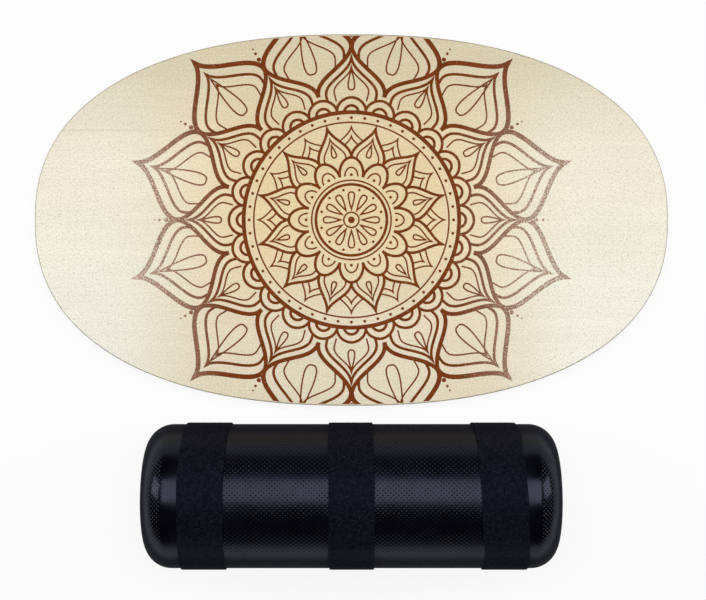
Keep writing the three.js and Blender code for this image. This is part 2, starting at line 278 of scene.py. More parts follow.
class Bench:
    """The nodes of one material or world, with short calls that add and join them."""

    def __init__(self, holder, surface="Principled BSDF", space="Object"):
        holder.use_nodes = True
        self.holder = holder
        self.nodes = holder.node_tree.nodes
        self.links = holder.node_tree.links
        self.surface = self.nodes[surface]
        self.place = self.nodes.new("ShaderNodeTexCoord").outputs[space]

    def node(self, kind, values=None, **settings):
        made = self.nodes.new(kind)
        for key, value in settings.items():
            setattr(made, key, value)
        for key, value in (values or {}).items():
            self.set(made.inputs[key], value)
        return made

    def set(self, socket, value):
        if isinstance(value, bpy.types.NodeSocket):
            self.links.new(value, socket)
        elif socket.type == "RGBA" and len(value) == 3:
            socket.default_value = (*value, 1)
        else:
            socket.default_value = value

    def shade(self, **values):
        """Sets what the surface is like, and returns the material or world."""
        for key, value in values.items():
            self.set(self.surface.inputs[key.replace("_", " ")], value)
        return self.holder

    def maths(self, operation, *values):
        return self.node("ShaderNodeMath", dict(enumerate(values)), operation=operation).outputs[0]

    def times(self, first, second):
        return self.maths("MULTIPLY", first, second)

    def minus(self, first, second):
        return self.maths("SUBTRACT", first, second)

    def apart(self, first, second):
        """How far two values lie apart."""
        return self.maths("ABSOLUTE", self.minus(first, second))

    def reach(self, first, second):
        """How far a point lies from an axis, by its distances along the other two."""
        return self.maths("SQRT", self.maths("ADD", self.times(first, first), self.times(second, second)))

    def mix(self, share, first, second):
        return self.node("ShaderNodeMix", {0: share, 6: first, 7: second}, data_type="RGBA").outputs[2]

    def between(self, value, low, high, start=0.0, end=1.0):
        """A smooth step from start to end as the value goes from low to high."""
        numbered = {0: value, 1: low, 2: high, 3: start, 4: end}
        return self.node("ShaderNodeMapRange", numbered, interpolation_type="SMOOTHSTEP").outputs[0]

    def spread(self, pattern, start, end):
        """A noise's usual values, spread from start to end."""
        return self.between(pattern, 0.3, 0.7, start, end)

    def axes(self):
        return self.node("ShaderNodeSeparateXYZ", {0: self.place}).outputs

    def noise(self, scale, detail=3.0, roughness=0.5, distortion=0.0):
        """A noise, drawn out along the axes where it has three scales."""
        place = self.place
        if isinstance(scale, tuple):
            place = self.node("ShaderNodeMapping", {"Vector": place, "Scale": scale}).outputs[0]
            scale = 1.0
        values = {
            "Vector": place, "Scale": scale, "Detail": detail, "Roughness": roughness, "Distortion": distortion
        }
        return self.node("ShaderNodeTexNoise", values).outputs[0]

    def shaded(self, colour, pattern, low, high):
        """The colour, darker and lighter with a pattern, between two brightnesses."""
        values = {0: colour, 3: self.spread(pattern, low, high)}
        return self.node("ShaderNodeVectorMath", values, operation="SCALE").outputs[0]

    def bump(self, height, distance, strength=1.0, under=None):
        values = {"Height": height, "Distance": distance, "Strength": strength}
        if under is not None:
            values["Normal"] = under
        return self.node("ShaderNodeBump", values).outputs[0]

    def duller_flanks(self, roughness):
        """The roughness, raised at flat angles, where the fine texture shades itself."""
        self.surface.distribution = "GGX"
        facing = self.node("ShaderNodeLayerWeight", {"Blend": 0.5}).outputs["Facing"]
        return self.between(facing, 0.32, 0.64, start=roughness, end=1.0)

    def show_white(self, share, kind, output):
        """Shows plain white for a share of the surface, to straight rays and by gloss or glass."""
        path = self.node("ShaderNodeLightPath").outputs
        seen = path["Is Camera Ray"]
        for name in ("Is Glossy Ray", "Is Transmission Ray"):
            seen = self.maths("MAXIMUM", seen, path[name])
        white = self.node(kind, {"Color": WHITE, "Strength": 1.0})
        surfaces = {0: self.times(seen, share), 1: self.surface.outputs[0], 2: white.outputs[0]}
        mixed = self.node("ShaderNodeMixShader", surfaces)
        self.links.new(mixed.outputs[0], self.nodes[output].inputs["Surface"])


def material_bench(name):
    return Bench(bpy.data.materials.new(name))


# Where the deck's veneer is warmest and where its two strips are joined, from its middle
WARM_SPOT = -11 * MM
VENEER_JOINT = 106.3 * MM


def deck_reach(bench):
    """How far a point lies from the deck's warmest spot towards an end, and from its middle across it, from -1
    by the roller to 1."""
    x, y, _ = bench.axes()
    end = bench.maths("DIVIDE", bench.apart(x, deck_centre.x + WARM_SPOT), deck_half.x)
    return end, bench.maths("DIVIDE", bench.minus(y, deck_centre.y), deck_half.y)


def veneer_colour(bench, deck, end, across):
    """Pale birch, warmer in the middle, with fine fibres along the deck, and the fine grit in its coat. Towards
    the ends it is painted paler as a painted glare, and there the grit shows as grey specks.
    """
    # The share of painted glare: the veneer is painted paler towards the ends, for the side lamps' glare on the
    # coat.
    end_glare_share = bench.between(end, 0.22, 0.78)
    far_share = bench.between(across, 0.2, 1.0, 0.0, 0.85)
    near_share = bench.times(bench.between(across, -0.72, 0.0, 0.85, 0.0), bench.minus(1.0, end_glare_share))
    pale = bench.mix(bench.between(across, -0.6, 0.2, 1.0, 0.0), deck.veneer_end_glare, deck.veneer_pale_glare)
    colour = bench.mix(end_glare_share, deck.veneer_middle, pale)
    colour = bench.mix(far_share, colour, deck.veneer_far)
    colour = bench.mix(near_share, colour, deck.veneer_near)
    clouds = bench.noise((4.8, 14.4, 14.4), 2)
    streaks = bench.noise((4, 70, 70), 3, 0.55)
    fibres = bench.noise((14, 420, 420), 3, 0.6)
    grit = bench.noise(560, 3, 0.55)
    colour = bench.shaded(colour, clouds, 0.98, 1.015)
    colour = bench.shaded(colour, streaks, 0.98, 1.012)
    colour = bench.shaded(colour, fibres, 0.975, 1.015)
    colour = bench.shaded(colour, grit, 0.86, 1.095)
    # Grey specks of the grit, drawn only in the painted glare at the ends.
    specks = bench.between(bench.noise(380, 2, 0.7), 0.56, 0.7, 0.0, 0.5)
    return bench.mix(bench.times(specks, end_glare_share), colour, linear(186, 182, 162)), grit


def veneer_finish(deck):
    bench = material_bench("birch_veneer")
    colour, grit = veneer_colour(bench, deck, *deck_reach(bench))
    x, y, z = bench.axes()
    joint = bench.between(bench.apart(y, deck_centre.y + VENEER_JOINT), 0.25 * MM, 0.7 * MM, 0.34, 0.0)
    shown = bench.between(x, deck_low.x + 60 * MM, deck_low.x + 190 * MM, 1.0, 0.12)
    colour = bench.mix(bench.times(joint, shown), colour, linear(140, 112, 78))
    # Painted shade: the veneer's rounded edge, away from its flat faces, is painted darker.
    off_face = bench.minus(deck_half.z, bench.apart(z, deck_centre.z))
    rim = bench.between(off_face, 0.05 * MM, 0.5 * MM, 0.0, 0.8)
    return bench.shade(
        Base_Color=bench.mix(rim, colour, deck.rim_shade_colour), Roughness=bench.spread(grit, 0.42, 0.56),
        Specular_IOR_Level=0.2, Normal=bench.bump(grit, 0.05 * MM, 0.6),
    )


def ink_finish(deck):
    """Brown ink, painted paler towards the ends as a painted glare, through which the veneer shows in specks: a
    few all over as wear, and more at the ends, where they stand in for glare on the grit.
    """
    bench = material_bench("brown_ink")
    end, across = deck_reach(bench)
    veneer, grit = veneer_colour(bench, deck, end, across)
    # Painted glare: the ink turns paler towards the ends, and less so towards the long edge off the roller.
    ink_glare_share = bench.times(bench.between(end, 0.33, 0.66), bench.between(across, 0.15, 0.85, 1.0, 0.15))
    ink = bench.shaded(bench.mix(ink_glare_share, deck.ink, deck.ink_glare_tone), bench.noise(90, 2), 0.86, 1.12)
    # Specks of bare veneer: wear all over, and more of them in the painted glare at the ends.
    bare_from = bench.minus(0.66, bench.times(ink_glare_share, 0.16))
    bare = bench.between(bench.minus(bench.noise(640, 2, 0.6), bare_from), 0.0, 0.08, 0.0, 0.8)
    return bench.shade(
        Base_Color=bench.mix(bare, ink, veneer), Roughness=bench.spread(grit, 0.45, 0.6),
        Specular_IOR_Level=0.08, Normal=bench.bump(grit, 0.05 * MM, 0.6),
    )


def ply_finish(name, colour, stretch, low, high):
    """A sanded ply edge: fibres one way, end grain the other, and a dark line of glue at its faces."""
    bench = material_bench(name)
    fibres = bench.noise(stretch, 4, 0.65)
    pores = bench.noise(1500, 1)
    off_middle = bench.apart(bench.axes()[2], (low + high) / 2)
    face, glue_depth = (high - low) / 2, 0.16 * MM
    glue = bench.between(off_middle, face - glue_depth, face, 0.0, 0.55)
    wood = bench.shaded(bench.shaded(colour, fibres, 0.72, 1.16), pores, 0.9, 1.05)
    return bench.shade(
        Base_Color=bench.mix(glue, wood, linear(96, 62, 32)),
        Roughness=bench.between(fibres, 0.2, 0.8, 0.6, 0.85), Normal=bench.bump(fibres, 0.12 * MM, 0.5),
    )


def stop_finish(deck):
    bench = material_bench("oiled_beech")
    rings = bench.noise((150, 6, 90), 4, 0.6, 0.4)
    flecks = bench.noise((900, 160, 900), 2)
    colour = bench.shaded(deck.stop_wood, rings, 0.84, 1.1)
    colour = bench.mix(bench.between(flecks, 0.6, 0.75, 0.0, 0.35), colour, linear(140, 98, 62))
    return bench.shade(
        Base_Color=colour, Roughness=bench.spread(rings, 0.45, 0.6), Normal=bench.bump(flecks, 0.08 * MM, 0.5)
    )


def zinc_finish(roller):
    bench = material_bench("bright_zinc")
    turning = bench.noise((300, 300, 3000), 2)
    patina = bench.noise(700, 3)
    return bench.shade(
        Base_Color=bench.shaded(roller.zinc, patina, 0.86, 1.05), Metallic=1.0,
        Roughness=bench.spread(patina, 0.26, 0.42), Normal=bench.bump(turning, 0.02 * MM, 0.6),
    )


# Where the moulding changes: along the roller from its middle, and how far in from its barrel's surface
BARREL_DIAMONDS_END = (183 * MM, 186 * MM)
SHOULDER_DIAMONDS_START = (203 * MM, 210 * MM)
GLOSS_CHANGE = (188 * MM, 208 * MM)
DIAMONDS_FADE = (20 * MM, 29 * MM)


def diamond_height(bench, roller, from_middle):
    """Small raised diamonds in rows that wind both ways round the roller, and stand higher on its shoulders. A
    collar beside each outer strap and the two end faces are smooth."""
    _, y, z = bench.axes()
    across, up = bench.minus(y, roller_centre.y), bench.minus(z, roller_centre.z)
    past_shoulder = bench.minus(shell_radius, bench.reach(across, up))
    diamonds_round = round(FULL_TURN * shell_radius / roller.diamond_rise)
    round_it = bench.times(bench.maths("ARCTAN2", across, up), diamonds_round / FULL_TURN)
    along = bench.maths("DIVIDE", bench.maths("ADD", from_middle, past_shoulder), roller.diamond_pitch)
    grooves = []
    for operation in ("ADD", "SUBTRACT"):
        row = bench.maths("FRACT", bench.maths(operation, round_it, along))
        grooves.append(bench.apart(row, 0.5))
    raised = bench.between(bench.maths("MAXIMUM", *grooves), 0.02, 0.27, 1.0, 0.0)
    on_barrel = bench.between(from_middle, *BARREL_DIAMONDS_END, 1.0, 0.0)
    on_shoulder = bench.between(from_middle, *SHOULDER_DIAMONDS_START, 0.0, 1.7)
    off_face = bench.between(past_shoulder, *DIAMONDS_FADE, 1.0, 0.0)
    wear = bench.between(bench.noise(70, 2), 0.35, 0.65, 0.75, 1.15)
    for share in (bench.maths("ADD", on_barrel, on_shoulder), off_face, wear):
        raised = bench.times(raised, share)
    return raised


def moulding_finish(roller):
    bench = material_bench("black_moulding")
    from_middle = bench.maths("ABSOLUTE", bench.axes()[0])
    diamonds = diamond_height(bench, roller, from_middle)
    cloud = bench.noise(26, 3)
    satin = bench.between(from_middle, *GLOSS_CHANGE, 0.26, 0.17)
    # Painted highlight: the higher tops of the shoulders' diamonds are painted lighter, for their glints.
    tops = bench.times(bench.between(diamonds, 0.3, 1.3), bench.between(from_middle, *SHOULDER_DIAMONDS_START))
    colour = bench.mix(tops, bench.shaded(roller.moulding, cloud, 0.8, 1.2), roller.diamond_glint_colour)
    roughness = bench.times(satin, bench.spread(cloud, 0.9, 1.1))
    raised = bench.bump(diamonds, roller.diamond_height)
    return bench.shade(
        Base_Color=colour, Roughness=bench.duller_flanks(roughness), IOR=1.22, Specular_IOR_Level=1.0,
        Specular_Tint=linear(206, 217, 255), Normal=bench.bump(bench.noise(1400, 2), 0.01 * MM, 0.5, raised),
    )


def plug_finish(roller):
    bench = material_bench("plug_moulding")
    grain = bench.noise(900, 3)
    return bench.shade(
        Base_Color=bench.shaded(roller.plug, grain, 0.8, 1.2), Roughness=bench.spread(grain, 0.42, 0.55),
        Normal=bench.bump(grain, 0.03 * MM, 0.6),
    )


def strap_finish(roller):
    """Looped fabric with soft tufts and a little pale lint."""
    bench = material_bench("napped_fabric")
    tufts = bench.noise(520, 3, 0.6)
    brushed = bench.noise(240, 3, 0.6)
    colour = bench.shaded(roller.strap_fabric, brushed, 0.5, 1.55)
    colour = bench.shaded(colour, tufts, 0.4, 1.65)
    lint = bench.between(bench.noise(900, 1), 0.66, 0.76, 0.0, 0.5)
    soft = bench.bump(brushed, 0.5 * MM, 0.8)
    return bench.shade(
        Base_Color=bench.mix(lint, colour, linear(64, 66, 80)),
        Roughness=bench.duller_flanks(bench.spread(tufts, 0.5, 0.66)), IOR=1.17,
        Specular_Tint=linear(150, 170, 255), Sheen_Weight=0.003, Sheen_Roughness=0.5,
        Sheen_Tint=linear(170, 180, 225), Normal=bench.bump(tufts, 0.4 * MM, 1.0, soft),
    )


# Deck

def deck_outline(deck, inset):
    """The deck's outline drawn in by an inset square to its edge, about the deck's centre."""
    half_x, half_y = deck_high.x - deck_centre.x, deck_high.y - deck_centre.y
    power = deck.outline_power
    outline = []
    for angle in angles_round(deck.outline_steps):
        reach = (abs(math.cos(angle)) ** power + abs(math.sin(angle)) ** power) ** (-1 / power)
        along, across = polar(reach, angle)
        lean_x = math.copysign(abs(along) ** (power - 1), along) / half_x
        lean_y = math.copysign(abs(across) ** (power - 1), across) / half_y
        lean = math.hypot(lean_x, lean_y)
        outline.append((half_x * along - inset * lean_x / lean, half_y * across - inset * lean_y / lean))
    return outline


def edge_inset(deck, z):
    """How far the sanded edge draws the outline in at a height."""
    depth = min(z - deck_low.z, deck_high.z - z)
    rise = max(deck.edge_round - depth, 0)
    return deck.edge_round - math.sqrt(max(deck.edge_round ** 2 - rise ** 2, 0))


def deck_ring(deck, inset, z):
    return [(deck_centre.x + x, deck_centre.y + y, z) for x, y in deck_outline(deck, inset)]


def ply_rings(deck, low, high):
    """Rings from a ply's lower face to its upper one, closer together where the edge is rounded. A narrow flat
    rim on each face keeps the shading of the edge off it."""
    steps, rim = 9, 0.4 * MM
    levels = {low, high}
    for i in range(steps + 1):
        drop = deck.edge_round * (1 - math.sin(QUARTER_TURN * i / steps))
        levels.update(z for z in (deck_low.z + drop, deck_high.z - drop) if low < z < high)
    return [
        deck_ring(deck, edge_inset(deck, low) + rim, low),
        *(deck_ring(deck, edge_inset(deck, z), z) for z in sorted(levels)),
        deck_ring(deck, edge_inset(deck, high) + rim, high),
    ]


def build_ply(deck, node, material, slot):
    low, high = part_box(node)
    points, faces = skin(ply_rings(deck, low.z, high.z))
    piece = mesh_piece(node + "_sheet", points, faces, sharp_degrees=40)
    dress(piece, material, "board", [node], slot)


# Ornament, in millimetres from the deck's centre. Petals meet at their cusps. An echo is a petal's line drawn
# smaller: its share of the size, the radius that it shrinks about and its weight. A leaf has the radii of its
# base and tip, and half its width. A shifted row stands between the petals of the others.

outer_rows = (
    {
        "count": 12, "shifted": True, "cusp": 205, "tip": 262, "rise": 24, "neck": (24, 5), "line": "bold",
        "echoes": ((0.80, 168, "middle"), (0.58, 176, "fine")), "leaf": (178, 236, 8.5),
    },
    {
        "count": 12, "cusp": 150, "tip": 206, "rise": 24, "neck": (25, 4), "line": "strong",
        "echoes": ((0.76, 146, "middle"), (0.52, 154, "fine")), "leaf": (154, 178, 4.5),
    },
    {
        "count": 24, "cusp": 129, "tip": 145, "rise": 9, "neck": (0, 9), "line": "middle",
        "echoes": ((0.5, 126, "middle"),), "ground": 140,
    },
)
inner_rows = (
    {
        "count": 12, "cusp": 84, "tip": 110, "rise": 8, "neck": (12, 3), "line": "fine",
        "echoes": ((0.6, 82, "fine"),),
    },
    {
        "count": 12, "shifted": True, "cusp": 74, "tip": 111, "rise": 15, "neck": (14, 3), "line": "middle",
        "echoes": ((0.66, 74, "fine"),), "leaf": (76, 91, 3.2),
    },
    {
        "count": 12, "cusp": 52, "tip": 74, "rise": 10, "neck": (0, 10), "line": "middle",
        "echoes": ((0.55, 48, "fine"),), "dot": (53.5, 1.8),
    },
)


def mirrored(side):
    """A line from one side to a point on the axis, carried on down the other side."""
    return side + [(u, -v) for u, v in reversed(side[:-1])]


def petal_line(row, share=1.0, root=0.0, tail_share=0.0):
    """A petal's line from cusp to tip to cusp. An echo is drawn smaller about a point on the petal's axis, with
    tails that run on inwards until another row hides them."""
    half = math.pi / row["count"]
    back, aside = row["neck"]
    lead = polar(row["cusp"] + row["rise"], half)
    side = bezier(polar(row["cusp"], half), lead, (row["tip"] - back, aside), (row["tip"], 0.0), steps=14)
    if tail_share:
        side.insert(0, polar(row["cusp"] * (1 - tail_share), half))
    return mirrored([(root + (u - root) * share, v * share) for u, v in side])


def leaf_line(base, tip, half_width):
    """A slim leaf, round at its base and pointed at its tip, as a closed line."""
    length = tip - base
    lead = (base - length * 0.04, half_width * 1.5)
    follow = (tip - length * 0.45, half_width * 0.7)
    return mirrored(bezier((base, 0.0), lead, follow, (tip, 0.0), steps=12))[:-1]


def beside(point, direction, distance):
    return point[0] + direction[0] * distance, point[1] + direction[1] * distance


def ribbon(line, width, closed=False):
    """Small quads along a line, mitred where it bends softly, with a point over each sharp bend."""
    soft_bend, longest_point = 0.6, 0.12
    half, count = width / 2, len(line)
    spans = count if closed else count - 1
    normals = []
    for i in range(spans):
        (u, v), (next_u, next_v) = line[i], line[(i + 1) % count]
        length = math.hypot(next_u - u, next_v - v)
        normals.append(((v - next_v) / length, (next_u - u) / length))
    starts, ends, corners = list(normals), list(normals), []
    for i in range(spans if closed else spans - 1):
        j = (i + 1) % spans
        a, b = normals[i], normals[j]
        both = (a[0] + b[0], a[1] + b[1])
        alike = a[0] * b[0] + a[1] * b[1]
        if alike >= soft_bend:
            ends[i] = starts[j] = (both[0] / (1 + alike), both[1] / (1 + alike))
            continue
        outside = -half if a[0] * b[1] - a[1] * b[0] > 0 else half
        corner = line[(i + 1) % count]
        point = beside(corner, both, outside / max(1 + alike, longest_point))
        corners.append([corner, beside(corner, a, outside), point, beside(corner, b, outside)])
    quads = []
    for i in range(spans):
        start, end = line[i], line[(i + 1) % count]
        quads.append([
            beside(start, starts[i], -half), beside(end, ends[i], -half),
            beside(end, ends[i], half), beside(start, starts[i], half),
        ])
    return quads + corners


class Drawing:
    """Flat shapes laid over each other from the outside in. A bare shape hides the ink under it."""

    def __init__(self, deck):
        self.widths = {
            "fine": deck.fine_line / MM, "middle": deck.middle_line / MM,
            "strong": deck.strong_line / MM, "bold": deck.bold_line / MM,
        }
        self.shapes = []

    def lay(self, shape, inked):
        self.shapes.append((shape, inked))

    def ground(self, radius, steps=144):
        self.lay(circle((0, 0), radius, steps), False)

    def line(self, points, weight, closed=False):
        for shape in ribbon(points, self.widths[weight], closed):
            self.lay(shape, True)

    def ring(self, radius, weight, steps=144):
        self.line(circle((0, 0), radius, steps), weight, True)

    def dot(self, radius, size, angle):
        self.lay(circle(polar(radius, angle), size, 12), True)

    def dots(self, count, radius, size, shifted=False):
        for angle in angles_round(count, shifted):
            self.dot(radius, size, angle)

    def leaf(self, leaf, angle):
        self.line(turned(leaf_line(*leaf), angle), "fine", True)

    def petals(self, row):
        if "ground" in row:
            self.ground(row["ground"])
        outline = petal_line(row)
        for angle in angles_round(row["count"], row.get("shifted")):
            self.lay(turned(outline, angle), False)
            for share, root, weight in row["echoes"]:
                self.line(turned(petal_line(row, share, root, tail_share=0.12), angle), weight)
            if "leaf" in row:
                self.leaf(row["leaf"], angle)
            if "dot" in row:
                self.dot(*row["dot"], angle)
            self.line(turned(outline, angle), row["line"])


def draw_ornament(deck):
    drawing = Drawing(deck)
    for radius, size in ((219, 2.6), (227, 1.7), (233, 1.1)):
        drawing.dots(12, radius, size)
    for row in outer_rows:
        drawing.petals(row)
    drawing.ground(129)
    drawing.ring(127.5, "strong")
    drawing.dots(48, 121, 1.8)
    drawing.ring(115.5, "fine")
    for row in inner_rows:
        drawing.petals(row)
    drawing.ground(52, 96)
    drawing.ring(47, "fine", 96)
    drawing.ring(42, "middle", 96)
    drawing.dots(12, 36.5, 1.6, True)
    for angle in angles_round(12):
        drawing.leaf((33, 13, 4.2), angle)
    drawing.ring(9, "fine", 48)
    drawing.lay(circle((0, 0), 4, 32), True)
    return drawing.shapes


def covered(shape, x, y):
    """Which of some points a closed shape holds."""
    inside = np.zeros(len(x), bool)
    for (a_x, a_y), (b_x, b_y) in zip(shape, shape[1:] + shape[:1]):
        if a_y != b_y:
            crosses = (a_y > y) != (b_y > y)
            inside ^= crosses & (x < (b_x - a_x) * (y - a_y) / (b_y - a_y) + a_x)
    return inside


def ink_faces(deck):
    """Flat triangles of the ink that shows: inside the deck's flat top, and on no bare shape laid over it."""
    rim = [(x / MM, y / MM) for x, y in deck_outline(deck, deck.edge_round)]
    shapes = [*draw_ornament(deck), (rim, False)]
    points, edges = [], []
    for shape, _ in shapes:
        start, count = len(points), len(shape)
        points.extend(Vector(p) for p in shape)
        edges.extend((start + i, start + (i + 1) % count) for i in range(count))
    merge_within = 0.0005
    corners, _, triangles = delaunay_2d_cdt(points, edges, [], 0, merge_within, False)[:3]
    places = np.array([tuple(p) for p in corners])
    faces = np.array(triangles)
    middles = places[faces].mean(axis=1)
    order = np.argsort(middles[:, 1])
    x, y = middles[order].T
    inked = np.zeros(len(order), bool)
    for shape, is_ink in shapes[:-1]:
        shape_x, shape_y = zip(*shape)
        rows = np.arange(np.searchsorted(y, min(shape_y)), np.searchsorted(y, max(shape_y)))
        rows = rows[(x[rows] >= min(shape_x)) & (x[rows] <= max(shape_x))]
        inked[rows[covered(shape, x[rows], y[rows])]] = is_ink
    inked &= covered(rim, x, y)
    return places * MM, faces[order[inked]].tolist()


def film(flat_points, flat_faces, low, high):
    """A closed thin layer over flat faces: the faces, the same below, and walls along their borders."""
    used = sorted({i for face in flat_faces for i in face})
    place = {old: new for new, old in enumerate(used)}
    count = len(used)
    points = [(deck_centre.x + flat_points[i][0], deck_centre.y + flat_points[i][1], high) for i in used]
    points.extend((x, y, low) for x, y, _ in list(points))
    top = [tuple(place[i] for i in face) for face in flat_faces]
    bottom = [tuple(i + count for i in reversed(face)) for face in top]
    edges = dict.fromkeys(edge for face in top for edge in zip(face, face[1:] + face[:1]))
    walls = [(b, a, a + count, b + count) for a, b in edges if (b, a) not in edges]
    return points, top + bottom + walls


# Stops and screws

def bar_ring(low, high, corner, inset, z):
    """A stop's outline with round corners, drawn in by an inset."""
    centre = (low + high) / 2
    reach_x, reach_y = (high.x - low.x) / 2 - corner, (high.y - low.y) / 2 - corner
    ring = []
    for i, (side_x, side_y) in enumerate(((1, 1), (-1, 1), (-1, -1), (1, -1))):
        start = QUARTER_TURN * i
        middle = (centre.x + side_x * reach_x, centre.y + side_y * reach_y)
        ring.extend(arc(middle, corner - inset, start, start + QUARTER_TURN, 10))
    return at_height(ring, z)


def bar_rings(low, high):
    """Rings of a stop from its sole, whose edge is rounded, up to its flat top under the deck."""
    corner, round_off, rim, steps = 8 * MM, 2 * MM, 0.4 * MM, 6
    rings = [bar_ring(low, high, corner, round_off + rim, low.z)]
    for i in range(steps + 1):
        turn = QUARTER_TURN * i / steps
        inset, rise = round_off * (1 - math.sin(turn)), round_off * (1 - math.cos(turn))
        rings.append(bar_ring(low, high, corner, inset, low.z + rise))
    rings.append(bar_ring(low, high, corner, 0, high.z))
    return rings


def screw_hole_rings(low, high):
    """Rings of the tool that cuts a screw's countersunk hole up through a stop, with a little room round it."""
    clearance, straight, shank, above = 0.3 * MM, 0.5 * MM, 2.25 * MM, 14 * MM
    wide = (high.x - low.x) / 2 + clearance
    cone_start = low.z + straight
    levels = ((wide, -2 * MM), (wide, cone_start), (shank, cone_start + wide - shank), (shank, above))
    centre = (low + high) / 2
    return [at_height(circle((centre.x, centre.y), radius, 48), z) for radius, z in levels]


def carve(piece, cutters):
    """Cuts closed tools out of a piece and keeps the result as its mesh."""
    for cutter in cutters:
        modifier = piece.modifiers.new("hole", "BOOLEAN")
        modifier.operation, modifier.solver, modifier.object = "DIFFERENCE", "EXACT", cutter
    graph = bpy.context.evaluated_depsgraph_get()
    carved = bpy.data.meshes.new_from_object(piece.evaluated_get(graph))
    piece.modifiers.clear()
    piece.data = carved
    carved.shade_smooth()
    carved.set_sharp_from_angle(angle=math.radians(SHARP_DEGREES))
    for cutter in cutters:
        bpy.data.objects.remove(cutter)


def screw_nodes(side):
    return sorted(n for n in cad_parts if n.startswith("stop_screw_" + side))


def screw_rings(low, high):
    """Rings of a screw from its head face up: a countersunk head, a shank and a thread that winds to a tip."""
    head, length = (high.x - low.x) / 2, high.z - low.z
    shank, thread, pitch, tip, brim, bare = 1.5 * MM, 1.95 * MM, 1.5 * MM, 4 * MM, 0.5 * MM, 1.5 * MM
    sides, steps, flank_slope, blunt_tip = 28, 62, 3.2, 0.02
    cone_end = brim + head - shank
    thread_start = cone_end + bare
    heights = [brim, cone_end, thread_start]
    heights.extend(thread_start + (length - thread_start) * (i + 1) / (steps + 1) for i in range(steps))
    rings = []
    for z in heights:
        ring = []
        for i in range(sides):
            turn = i / sides
            radius = head if z <= brim else shank
            if z > thread_start:
                along = ((z - thread_start) / pitch - turn) % 1
                crest = max(1 - flank_slope * abs(along - 0.5), 0)
                swell = min((z - thread_start) / pitch, 1)
                taper = max(min((length - z) / tip, 1), blunt_tip)
                radius = (shank + (thread - shank) * crest * swell) * taper
            ring.append(polar(radius, FULL_TURN * turn))
        rings.append(at_height(ring, z))
    rings.append([(0, 0, length)])
    return rings


def recess_line(arm, width, z):
    """A cross with rounded arms, as a closed ring."""
    half = width / 2
    quarter = [(arm, -half), (arm, half), (half * 1.25, half * 1.25)]
    return at_height([p for i in range(4) for p in turned(quarter, QUARTER_TURN * i)], z)


def screw_mesh(low, high):
    """One screw with its head face at the origin: the turned body, and a head face with a cross recess."""
    rings = screw_rings(low, high)
    points, faces = skin(rings)
    faces = [f for f in faces if len(f) <= 4]  # without the cap that the head face takes the place of
    sides, rim_start = len(rings[0]), len(points)
    chamfer, merge_within = 0.15 * MM, 1e-7
    rim_radius = (high.x - low.x) / 2 - chamfer
    points.extend(at_height(circle((0, 0), rim_radius, sides), 0.0))
    faces.extend(band(0, sides, rim_start, sides))
    mouth = recess_line(arm=2.1 * MM, width=1.0 * MM, z=0.0)
    floor = recess_line(arm=1.1 * MM, width=0.6 * MM, z=1.7 * MM)
    mouth_start = len(points)
    floor_start = mouth_start + len(mouth)
    points.extend(mouth + floor)
    faces.extend(band(mouth_start, len(mouth), floor_start, len(floor)))
    faces.append(tuple(range(floor_start, floor_start + len(floor))))
    flat = [Vector(p[:2]) for p in points[rim_start:floor_start]]
    rim, cross = list(range(sides)), list(range(sides, sides + len(mouth)))
    _, _, fill, _, _, sources = delaunay_2d_cdt(flat, [], [rim, cross], 1, merge_within, True)
    faces.extend(tuple(rim_start + i for i in f) for f, laid in zip(fill, sources) if laid == [0])
    return points, faces


# Roller

def shell_profile(roller):
    """Half the shell's section, from one end's middle over the outside to the vent, and back inside."""
    half = shell_high.x - roller_centre.x
    corner, wall = roller.corner_radius, roller.wall
    shoulder = shell_radius - corner
    dish, slope, depth, vent = 40 * MM, 5 * MM, 4 * MM, 9 * MM
    brow = dish + slope
    soft, chamfer = 1.2 * MM, 0.4 * MM
    floor_x = half - depth
    spans, reach = 24, half - corner
    barrel = [(shell_radius, -reach + 2 * reach * i / spans) for i in range(1, spans)]
    lip_bend, foot_bend = (brow, half), (dish, floor_x)
    lip = bezier((brow + soft * 2, half), lip_bend, lip_bend, (brow - soft, half - soft), 5)
    foot = bezier((dish + soft, floor_x + soft), foot_bend, foot_bend, (dish - soft * 2, floor_x), 5)
    outside = arc((shoulder, reach), corner, 0, QUARTER_TURN, 16) + lip + foot
    vent_edge = [(vent + chamfer, floor_x), (vent, floor_x - chamfer), (vent, floor_x - wall)]
    inside = [(dish, floor_x - wall), (brow, half - wall)]
    inside += arc((shoulder, reach), corner - wall, QUARTER_TURN, 0, 10)

    def flipped(line):
        return [(radius, -x) for radius, x in reversed(line)]

    return (
        [(0, -floor_x)] + flipped(outside) + barrel + outside + vent_edge + inside + flipped(inside)
        + [(0, wall - floor_x)]
    )


def plug_profile(roller):
    """Half the plug's section along the roller's axis, from the dimple in its face to the end of its barb."""
    face, flange = plug_high.x - roller_centre.x, plug_high.z - roller_centre.z
    stem, barb, rounding, play = flange - 3.3 * MM, flange - 2.2 * MM, 1 * MM, 0.3 * MM
    seat = face - 2.5 * MM
    behind = seat - play - roller.wall - play
    tip = behind - 4.5 * MM
    dimple = [(0, face - 0.9 * MM), (2.6 * MM, face - 0.8 * MM), (4.2 * MM, face - 0.25 * MM), (5 * MM, face)]
    edge = arc((flange - rounding, face - rounding), rounding, QUARTER_TURN, 0, 8)
    return dimple + edge + [
        (flange, seat + 0.2 * MM), (flange - 0.2 * MM, seat), (stem, seat), (stem, behind), (barb, behind),
        (barb, behind - 0.4 * MM), (stem - 2 * MM, tip), (0, tip),
    ]


